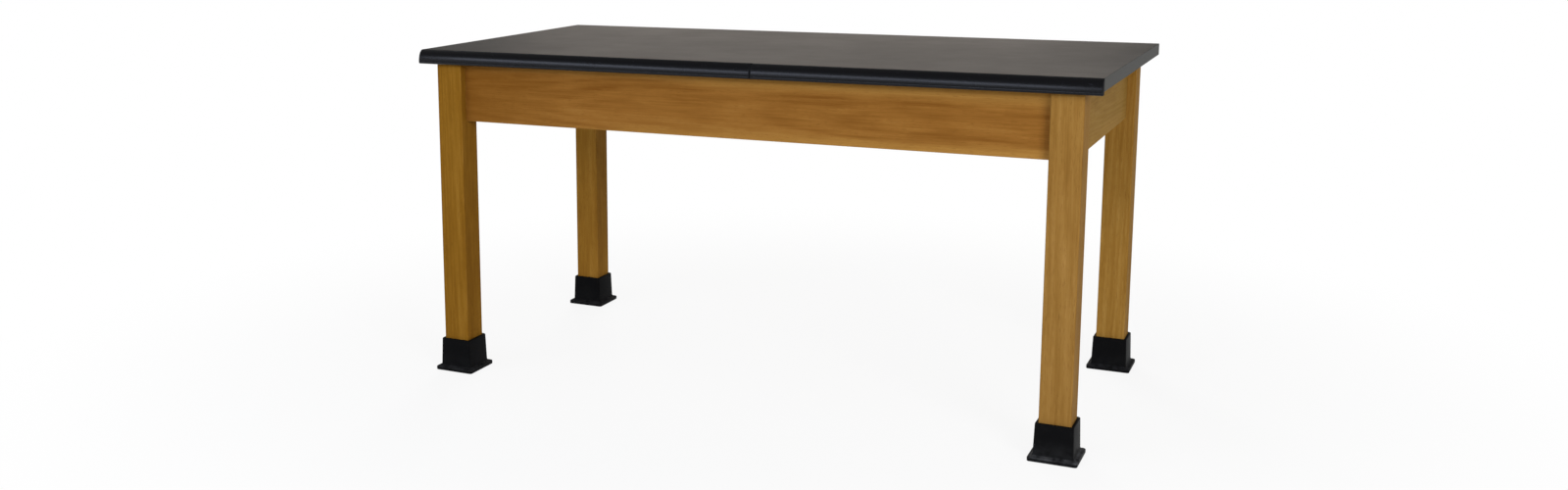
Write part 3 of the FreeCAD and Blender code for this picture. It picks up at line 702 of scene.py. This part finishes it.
@dataclass(frozen=True)
class NylonFinish:
    """Moulded dark nylon of the levelling feet."""

    name: str = "foot_nylon"
    dark: Colour = srgb(42, 42, 44)
    worn: Colour = srgb(84, 82, 78)
    scuff_scale: float = 240.0
    scuff_edge: Pair = (0.5, 0.8)
    grain_scale: float = 1500.0
    roughness: float = 0.42
    relief: float = 0.03 * MM

    def material(self) -> bpy.types.Material:
        """Build the nylon.

        Returns:
            Its material.
        """
        graph = Graph.material(self.name)
        place = graph.place()
        scuff = graph.noise(place, self.scuff_scale, detail=4.0).ramp(*self.scuff_edge)
        grain = graph.noise(place, self.grain_scale)
        colour = graph.blend(scuff * 0.6, self.dark, self.worn)
        return graph.surface(Base_Color=colour, Roughness=self.roughness + scuff * 0.2,
                             Normal=graph.bump(grain, self.relief))


def dress(thing: bpy.types.Object, material: bpy.types.Material) -> None:
    """Give an object one material."""
    thing.data.materials.clear()
    thing.data.materials.append(material)


def dress_node(node: str, material: bpy.types.Material) -> None:
    """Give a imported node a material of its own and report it."""
    dress(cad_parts[node], material)
    log.info("dressed %s with %s", node, material.name)


def add_piece(name: str, shape: bmesh.types.BMesh, material: bpy.types.Material, body: str,
              node: str, sharp_degrees: float = 30.0) -> None:
    """Turn a finished bmesh into a piece of the table.

    Args:
        name: name of the piece.
        shape: its mesh in the table's frame; it is freed here.
        material: its finish.
        body: body that it moves with.
        node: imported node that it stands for.
        sharp_degrees: bends sharper than this keep a hard edge.
    """
    mesh = bpy.data.meshes.new(name)
    bmesh.ops.recalc_face_normals(shape, faces=shape.faces)
    shape.to_mesh(mesh)
    shape.free()
    mesh.shade_smooth()
    mesh.set_sharp_from_angle(angle=math.radians(sharp_degrees))
    thing = bpy.data.objects.new(name, mesh)
    bpy.context.scene.collection.objects.link(thing)
    dress(thing, material)
    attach(thing, body)
    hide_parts(node)
    log.info("built %s on %s for %s", name, body, node)


def round_edges(shape: bmesh.types.BMesh, wanted: Callable[[bmesh.types.BMEdge], bool], radius: float,
                segments: int) -> None:
    """Round the edges that a test picks.

    Args:
        shape: mesh to change.
        wanted: says whether an edge is rounded.
        radius: size of the round.
        segments: steps in the round; one step makes a plain bevel.
    """
    picked = [edge for edge in shape.edges if wanted(edge)]
    bmesh.ops.bevel(shape, geom=picked, offset=radius, offset_type="OFFSET", affect="EDGES",
                    segments=segments, profile=0.5, material=-1, clamp_overlap=True)


def stand_in_box(shape: bmesh.types.BMesh, low: Vector, high: Vector) -> None:
    """Move a shape made round the upright axis to the middle of a box, without lifting it."""
    middle = ((low.x + high.x) / 2, (low.y + high.y) / 2, 0.0)
    bmesh.ops.translate(shape, verts=shape.verts, vec=middle)


@dataclass
class TableTop:
    """Laminated top with its bands and the rolled front nosing in two lengths."""

    nosing_depth: float = 19 * MM
    nosing_roll: float = 16 * MM
    nosing_drop: float = 27 * MM
    nosing_lip: float = 4 * MM
    lip_height: float = 6.35 * MM
    groove_height: float = 1.6 * MM
    groove_depth: float = 1.2 * MM
    end_round: float = 0.5 * MM
    roll_steps: int = 24
    lip_steps: int = 8
    end_steps: int = 3

    def build(self) -> None:
        """Model both lengths of the nosing."""
        seam, far_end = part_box("front_nosing_right")
        vinyl = NosingFinish(far_end.x, far_end.z, seam.x).material()
        for side in ("left", "right"):
            self._nosing(side, vinyl)

    def dress(self) -> None:
        """Give the sheets and bands their finishes."""
        dress_node("top_laminate", LaminateFinish().material())
        dress_node("top_core", BoardFinish().material())
        dress_node("backer_sheet", BackerFinish().material())
        band = BandFinish().material()
        for node in ("left_end_band", "right_end_band", "rear_edge_band"):
            dress_node(node, band)

    def _nosing(self, side: str, vinyl: bpy.types.Material) -> None:
        """Model one length: a bar, its front rolled over, its groove pressed in, its ends eased.

        Args:
            side: which length.
            vinyl: its finish.
        """
        node = f"front_nosing_{side}"
        low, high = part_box(node)
        high.y = low.y + self.nosing_depth
        shape = bmesh.new()
        bar = Matrix.Translation((low + high) / 2) @ Matrix.Diagonal((high - low).to_4d())
        bmesh.ops.create_cube(shape, size=1.0, matrix=bar)

        def front(edge: bmesh.types.BMEdge, height: float) -> bool:
            """True for the long front edge at a height."""
            return all(abs(v.co.y - low.y) + abs(v.co.z - height) < SAME for v in edge.verts)

        def end(edge: bmesh.types.BMEdge) -> bool:
            """Pick the edges round an end, except at the hidden back.

            Args:
                edge: edge to test.

            Returns:
                True for such an edge.
            """
            first, second = (v.co for v in edge.verts)
            at_end = any(abs(first.x - x) + abs(second.x - x) < SAME for x in (low.x, high.x))
            return at_end and min(first.y, second.y) < high.y - SAME

        round_edges(shape, lambda edge: front(edge, low.z), self.nosing_lip, self.lip_steps)
        squat = self.nosing_roll / self.nosing_drop
        from_top = Matrix.Translation((0, 0, -high.z))
        bmesh.ops.scale(shape, vec=(1, 1, squat), space=from_top, verts=shape.verts)
        round_edges(shape, lambda edge: front(edge, high.z), self.nosing_roll, self.roll_steps)
        bmesh.ops.scale(shape, vec=(1, 1, 1 / squat), space=from_top, verts=shape.verts)
        self._press_groove(shape, low)
        round_edges(shape, end, self.end_round, self.end_steps)
        add_piece(f"nosing_{side}", shape, vinyl, "table", node)

    def _press_groove(self, shape: bmesh.types.BMesh, low: Vector) -> None:
        """Press the drip groove into the face of a nosing.

        Args:
            shape: mesh of the nosing.
            low: its lowest corner.
        """
        groove = low.z + self.lip_height
        for height in (groove - self.groove_height / 2, groove + self.groove_height / 2):
            everything = shape.verts[:] + shape.edges[:] + shape.faces[:]
            bmesh.ops.bisect_plane(shape, geom=everything, plane_co=(0, 0, height), plane_no=(0, 0, 1))

        def in_strip(face: bmesh.types.BMFace) -> bool:
            """True for a front face between the two cuts."""
            offset = face.calc_center_median() - Vector((0, low.y, groove))
            return abs(offset.y) < self.groove_depth / 4 and abs(offset.z) < self.groove_height / 2

        strip = [face for face in shape.faces if in_strip(face)]
        bmesh.ops.inset_region(shape, faces=strip, thickness=self.groove_height / 4, depth=-self.groove_depth,
                               use_boundary=True, use_even_offset=True)


@dataclass
class OakFrame:
    """Legs, aprons and cross rail, each board with a figure of its own.

    The tones of a leg are its light, main and dark wood. The left legs are darker and the right ones
    paler: partly the legs' own tones, partly painted shade of light falling from the right.
    """

    # Left legs darker, right legs paler: partly own tone, partly painted shade.
    leg_tones_and_shade: dict[str, tuple[Colour, Colour, Colour]] = field(default_factory=lambda: {
        "front_left": (srgb(156, 113, 42), srgb(136, 94, 27), srgb(112, 71, 16)),
        "front_right": (srgb(169, 129, 70), srgb(148, 109, 52), srgb(123, 84, 33)),
        "rear_left": (srgb(168, 124, 54), srgb(148, 105, 38), srgb(123, 81, 25)),
        "rear_right": (srgb(176, 136, 69), srgb(155, 114, 50), srgb(130, 89, 31)),
    })

    def dress(self) -> None:
        """Give every board its own oak."""
        for place, corner in enumerate(CORNERS):
            light, main, dark = self.leg_tones_and_shade[corner]
            self._board(f"leg_{corner}", Grain.UPRIGHT, pith=(0.05 - 0.03 * place, 0.06), lean=(0.008, 0.014),
                        light=light, main=main, dark=dark, ring_contrast=0.13)
        # On the long aprons the taper and the darker end make the left end darker: painted shade of light
        # falling from the right.
        for side in ("front", "rear"):
            self._board(f"{side}_apron", Grain.LENGTH, pith=(0.12, -0.012), lean=(0.016, 0.006),
                        sapwood_share=0.70, heart_share=0.12, heart_drop=0.15, heart_taper=0.02,
                        deep_share=0.40)
        # The end aprons get lighter, greyer wood than the long ones: a painted sheen of light glancing off
        # their lacquer.
        for side in ("left", "right"):
            self._board(f"{side}_apron", Grain.DEPTH, pith=(0.10, 0.015), lean=(0.02, 0.01),
                        sapwood_share=0.3, light=srgb(170, 135, 72), main=srgb(150, 115, 54),
                        dark=srgb(126, 91, 38))
        self._board("cross_rail", Grain.DEPTH, pith=(0.09, 0.0))
        self._board("dowels", Grain.LENGTH, light=srgb(222, 190, 146), main=srgb(206, 172, 128),
                    dark=srgb(186, 150, 106), pore=srgb(160, 124, 84))

    @staticmethod
    def _board(node: str, grain: Grain, **traits: Any) -> None:
        """Dress one board, or the dowels, with traits that set its figure and tone apart."""
        low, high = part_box(node)
        dress_node(node, OakFinish(f"oak_{node}", grain, low, high, **traits).material())


@dataclass
class Boot:
    """Rubber boot: a flared sleeve with a soft rim, a cove and a flange on the floor."""

    corner: str
    wall: float = 5.5 * MM
    flare: float = 1.8 * MM
    flange: float = 9.2 * MM
    lip: float = 9.0 * MM
    lip_round: float = 1.8 * MM
    cove: float = 6.2 * MM
    rim_round: float = 2.0 * MM
    corner_round: float = 4.0 * MM
    corner_steps: int = 5
    round_steps: int = 7
    sharp_degrees: float = 40.0

    def build(self, rubber: bpy.types.Material) -> None:
        """Model the boot round its leg.

        Args:
            rubber: its finish.
        """
        node = f"boot_{self.corner}"
        low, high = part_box(node)
        outside, inside = self._outline((high.x - low.x) / 2, high.z)
        shape = bmesh.new()
        diagonal = Matrix.Rotation(math.pi / 4, 4, "Z")
        ring = bmesh.ops.create_circle(shape, segments=4, radius=1.0, matrix=diagonal)["verts"]
        first = edges = shape.edges[:]
        self._set_ring(ring, *outside[0])
        for width, height in outside[1:] + inside:
            grown = bmesh.ops.extrude_edge_only(shape, edges=edges)["geom"]
            ring = [item for item in grown if isinstance(item, bmesh.types.BMVert)]
            edges = [item for item in grown if isinstance(item, bmesh.types.BMEdge)
                     and set(item.verts) <= set(ring)]
            self._set_ring(ring, width, height)
        bmesh.ops.bridge_loops(shape, edges=first + edges)
        mouth = inside[0][0]
        round_edges(shape, lambda edge: self._is_corner(edge, mouth), self.corner_round, self.corner_steps)
        stand_in_box(shape, low, high)
        add_piece(f"rubber_{node}", shape, rubber, node, node, self.sharp_degrees)

    def _outline(self, base: float, height: float) -> tuple[Outline, Outline]:
        """Section of the boot, from the floor outside over the rim to the floor inside.

        Args:
            base: half width of the flange.
            height: floor to rim.

        Returns:
            Half widths and heights of the outside, then those of the inside.
        """
        waist = base - self.flange
        top = waist - self.flare
        bore = top - self.wall
        turns = [math.pi / 2 * step / (self.round_steps - 1) for step in range(self.round_steps)]

        def rounded(width: float, level: float, radius: float) -> Outline:
            """Quarter round from an upright wall to a level top."""
            return [(width - radius * (1 - math.cos(turn)), level - radius * (1 - math.sin(turn)))
                    for turn in turns]

        outside = [(base - self.lip_round / 3, 0.0), (base, self.lip_round / 3)]
        outside += rounded(base, self.lip, self.lip_round)
        outside += [(waist + self.cove * (1 - math.sin(turn)), self.lip + self.cove * (1 - math.cos(turn)))
                    for turn in turns]
        outside += rounded(top, height, self.rim_round)
        inside = [(bore + self.rim_round / 2, height), (bore, height - self.rim_round / 2), (bore, 0.0)]
        return outside, inside

    @staticmethod
    def _set_ring(ring: Sequence[bmesh.types.BMVert], half: float, height: float) -> None:
        """Put the four corners of a ring at a half width and a height."""
        for vert in ring:
            vert.co = Vector((math.copysign(half, vert.co.x), math.copysign(half, vert.co.y), height))

    @staticmethod
    def _is_corner(edge: bmesh.types.BMEdge, mouth: float) -> bool:
        """Pick the edges that run along an outer corner of the boot.

        Args:
            edge: edge to test.
            mouth: half width of the opening.

        Returns:
            True for such an edge.
        """
        first, second = (v.co for v in edge.verts)
        outside = min(abs(first.x), abs(second.x)) > mouth + SAME
        return outside and first.x * second.x > 0 and first.y * second.y > 0


@dataclass
class Leveller:
    """Threaded levelling stud with a hex collar, and its foot.

    The thread's root and crest are half widths of its ridge, as shares of the pitch.
    """

    corner: str
    thread_pitch: float = 1.5875 * MM
    thread_depth: float = 0.75 * MM
    thread_root: float = 0.45
    thread_crest: float = 0.06
    thread_steps: int = 20
    radius: float = 4.75 * MM
    rod_sides: int = 24
    collar_sides: int = 6
    collar_width: float = 14 * MM
    collar_low: float = 9.2 * MM
    collar_high: float = 15.2 * MM
    spigot_radius: float = 3 * MM
    end_bevel: float = 1 * MM

    def build(self, zinc: bpy.types.Material) -> None:
        """Model the stud on its own axis, then stand it under its leg.

        Args:
            zinc: its finish.
        """
        node = f"leveller_stud_{self.corner}"
        low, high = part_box(node)
        shape = bmesh.new()
        core = self.radius - self.thread_depth
        collar_radius = self.collar_width / math.sqrt(3)
        spigot_top = self.collar_low + self.end_bevel
        fine_bevel = self.end_bevel / 2
        self._rod(shape, self.rod_sides, core, self.collar_high - self.end_bevel, high.z, self.end_bevel)
        self._rod(shape, self.rod_sides, self.spigot_radius, low.z, spigot_top, fine_bevel)
        self._rod(shape, self.collar_sides, collar_radius, self.collar_low, self.collar_high, fine_bevel)
        self._thread(shape, core, self.collar_high + self.thread_pitch, high.z - self.thread_pitch)
        stand_in_box(shape, low, high)
        add_piece(f"threaded_stud_{self.corner}", shape, zinc, f"stud_{self.corner}", node)

    def dress(self, nylon: bpy.types.Material) -> None:
        """Give the foot its finish."""
        dress_node(f"leveller_foot_{self.corner}", nylon)

    @staticmethod
    def _rod(shape: bmesh.types.BMesh, sides: int, radius: float, low: float, high: float,
             bevel: float) -> None:
        """Add an upright round or hexagonal rod with bevelled ends.

        Args:
            shape: mesh to add to.
            sides: sides of the rod.
            radius: axis to its corners.
            low: height of its foot.
            high: height of its top.
            bevel: size of the bevel at both ends.
        """
        place = Matrix.Translation((0, 0, (low + high) / 2))
        made = bmesh.ops.create_cone(shape, cap_ends=True, segments=sides, radius1=radius, radius2=radius,
                                     depth=high - low, matrix=place)["verts"]
        rims = {edge for vert in made for edge in vert.link_edges
                if abs(edge.verts[0].co.z - edge.verts[1].co.z) < SAME}
        round_edges(shape, lambda edge: edge in rims, bevel, 1)

    def _thread(self, shape: bmesh.types.BMesh, core: float, low: float, high: float) -> None:
        """Wind a right-handed ridge round the core.

        Args:
            shape: mesh to add to.
            core: radius of the core.
            low: height where the ridge starts.
            high: height where it ends.
        """
        buried = core - self.thread_depth / 4
        section = [(buried, -self.thread_root), (self.radius, -self.thread_crest),
                   (self.radius, self.thread_crest), (buried, self.thread_root)]
        verts = [shape.verts.new((out, 0.0, low + up * self.thread_pitch)) for out, up in section]
        loop = [shape.edges.new((verts[i - 1], verts[i])) for i in range(len(verts))]
        turns = math.floor((high - low) / self.thread_pitch)
        rise = (0, 0, self.thread_pitch / self.thread_steps)
        wound = bmesh.ops.spin(shape, geom=verts + loop, cent=(0, 0, 0), axis=(0, 0, 1), dvec=rise,
                               angle=turns * math.tau, steps=turns * self.thread_steps, use_merge=False)
        last = [item for item in wound["geom_last"] if isinstance(item, bmesh.types.BMEdge)]
        bmesh.ops.edgeloop_fill(shape, edges=loop)
        bmesh.ops.edgeloop_fill(shape, edges=last)


@dataclass
class Fittings:
    """Zinc-plated hardware that holds the frame and the top together."""

    groups: Sequence[str] = ("hanger_bolts", "brace_washers", "brace_nuts", "brace_screws", "top_clips",
                             "clip_screws", "leveller_inserts")

    def dress(self, zinc: bpy.types.Material) -> None:
        """Give the hardware its finish.

        Args:
            zinc: finish of every fitting.
        """
        for node in self.groups:
            dress_node(node, zinc)
        for corner in CORNERS:
            dress_node(f"corner_brace_{corner}", zinc)


@dataclass(frozen=True)
class Lamp:
    """Soft lamp, its size in metres and its power in watts; mirrored if it shows in glossy surfaces."""

    name: str
    place: Triple
    size: Pair
    power: float
    tint: Triple = (1.0, 1.0, 1.0)
    mirrored: bool = True

    def hang(self, aim: Vector) -> None:
        """Add the lamp to the scene.

        Args:
            aim: point that it faces.
        """
        lamp = bpy.data.lights.new(self.name, "AREA")
        lamp.shape = "RECTANGLE"
        lamp.size, lamp.size_y = self.size
        lamp.energy = self.power
        lamp.color = self.tint
        thing = bpy.data.objects.new(self.name, lamp)
        thing.visible_camera = False
        thing.visible_glossy = self.mirrored
        thing.location = self.place
        thing.rotation_euler = (aim - Vector(self.place)).to_track_quat("-Z", "Y").to_euler()
        bpy.context.scene.collection.objects.link(thing)


@dataclass
class Studio:
    """White room, soft lamps and the camera of the photograph, its angles in radians."""

    image_width: int = 1600
    image_height: int = 500
    axis_pixel: Pair = (650.0, 160.0)
    focal_pixels: float = 1519.6
    sensor: float = 36.0
    eye: Triple = (1.2126, -3.2146, 1.0907)
    heading: float = -0.4632
    pitch: float = 0.1688
    roll: float = -0.0086
    aim: Triple = (0.0, 0.0, 0.45)
    lamps: Sequence[Lamp] = (
        Lamp("front_lamp", (2.8, -2.75, 1.8), (1.3, 1.3), 62.0, mirrored=False),
        Lamp("window_lamp", (-1.15, -3.5, 1.78), (4.8, 0.60), 62.0, (0.82, 0.88, 1.0)),
        Lamp("rear_panel", (-1.35, 3.9, 1.75), (3.2, 2.0), 22.0, (1.0, 0.86, 0.74)),
        Lamp("rear_lamp", (-1.8, 3.6, 2.4), (1.6, 1.6), 55.0, mirrored=False),
    )
    floor_size: float = 40.0
    floor_colour: Colour = (0.92, 0.92, 0.92, 1.0)
    floor_white: float = 0.88
    floor_fade: Pair = (0.8, 2.0)
    room_light: float = 0.30
    backdrop_top: Pair = (0.06, 0.26)

    def build(self) -> None:
        """Make the floor, the room, the lamps and the camera."""
        self._floor()
        self._room()
        for lamp in self.lamps:
            lamp.hang(Vector(self.aim))
        self._camera()

    def _floor(self) -> None:
        """Pale floor that keeps the shadow near the table and fades to white far off."""
        shape = bmesh.new()
        bmesh.ops.create_grid(shape, x_segments=1, y_segments=1, size=self.floor_size / 2)
        mesh = bpy.data.meshes.new("floor")
        shape.to_mesh(mesh)
        shape.free()
        floor = bpy.data.objects.new("floor", mesh)
        bpy.context.scene.collection.objects.link(floor)
        graph = Graph.material("pale_floor")
        x, y, _ = graph.place().parts()
        far = ((x * x + y * y) ** 0.5).ramp(*self.floor_fade)
        share = self._seen(graph, 1.0) * (self.floor_white + (1.0 - self.floor_white) * far)
        matt = graph.node("ShaderNodeBsdfDiffuse", None, {"Color": self.floor_colour})
        white = graph.node("ShaderNodeEmission", None, {"Color": WHITE, "Strength": 1.0})
        dress(floor, graph.close(graph.node("ShaderNodeMixShader", None, {0: share, 1: matt, 2: white})))

    @staticmethod
    def _seen(graph: Graph, mirrored: Term) -> Wire:
        """Share of white that the camera sees.

        Args:
            graph: node tree of the floor or the room.
            mirrored: share of white in a mirror or through glass.

        Returns:
            1 where the camera looks straight at it.
        """
        rays = graph.make("ShaderNodeLightPath").outputs
        camera, glossy, through = (Wire(graph, rays[f"Is {kind} Ray"])
                                   for kind in ("Camera", "Glossy", "Transmission"))
        return camera.most(glossy.most(through) * mirrored)

    def _room(self) -> None:
        """White backdrop all round that gives way to the room's own plain light overhead."""
        world = bpy.data.worlds.new("white_room")
        bpy.context.scene.world = world
        graph = Graph(world)
        soft, white = (graph.node("ShaderNodeBackground", None, {"Color": WHITE, "Strength": strength})
                       for strength in (self.room_light, 1.0))
        rise = graph.node("ShaderNodeTexCoord", output="Generated").parts()[2]
        share = self._seen(graph, 1.0 - rise.ramp(*self.backdrop_top))
        mixed = graph.node("ShaderNodeMixShader", None, {0: share, 1: soft, 2: white})
        graph.close(mixed, "ShaderNodeOutputWorld")

    def _camera(self) -> None:
        """Place the camera where the photograph was taken from."""
        lens = bpy.data.cameras.new("photo_camera")
        lens.sensor_fit = "HORIZONTAL"
        lens.sensor_width = self.sensor
        lens.lens = self.focal_pixels / self.image_width * self.sensor
        lens.shift_x = (self.image_width / 2 - self.axis_pixel[0]) / self.image_width
        lens.shift_y = (self.axis_pixel[1] - self.image_height / 2) / self.image_width
        camera = bpy.data.objects.new("photo_camera", lens)
        turn = (Matrix.Rotation(-self.heading, 4, "Z") @ Matrix.Rotation(math.pi / 2 - self.pitch, 4, "X")
                @ Matrix.Rotation(self.roll, 4, "Z"))
        camera.matrix_world = Matrix.Translation(self.eye) @ turn
        bpy.context.scene.collection.objects.link(camera)
        bpy.context.scene.camera = camera


def main() -> None:
    """Build and dress the table, then the room round it."""
    logging.basicConfig(level=logging.INFO, format="%(name)s: %(message)s")
    bpy.context.scene.view_settings.view_transform = "Standard"
    top = TableTop()
    top.build()
    top.dress()
    OakFrame().dress()
    rubber = RubberFinish().material()
    # The front right boot gets a much stronger flange band: a painted highlight of the light near that
    # corner, over the dust.
    dusty_highlit_rubber = RubberFinish("dusty_highlit_rubber", dust_and_highlight_share=0.50).material()
    zinc = ZincFinish().material()
    nylon = NylonFinish().material()
    for corner in CORNERS:
        Boot(corner).build(dusty_highlit_rubber if corner == "front_right" else rubber)
        leveller = Leveller(corner)
        leveller.build(zinc)
        leveller.dress(nylon)
    Fittings().dress(zinc)
    Studio().build()
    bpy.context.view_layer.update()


if __name__ == "__main__":
    main()
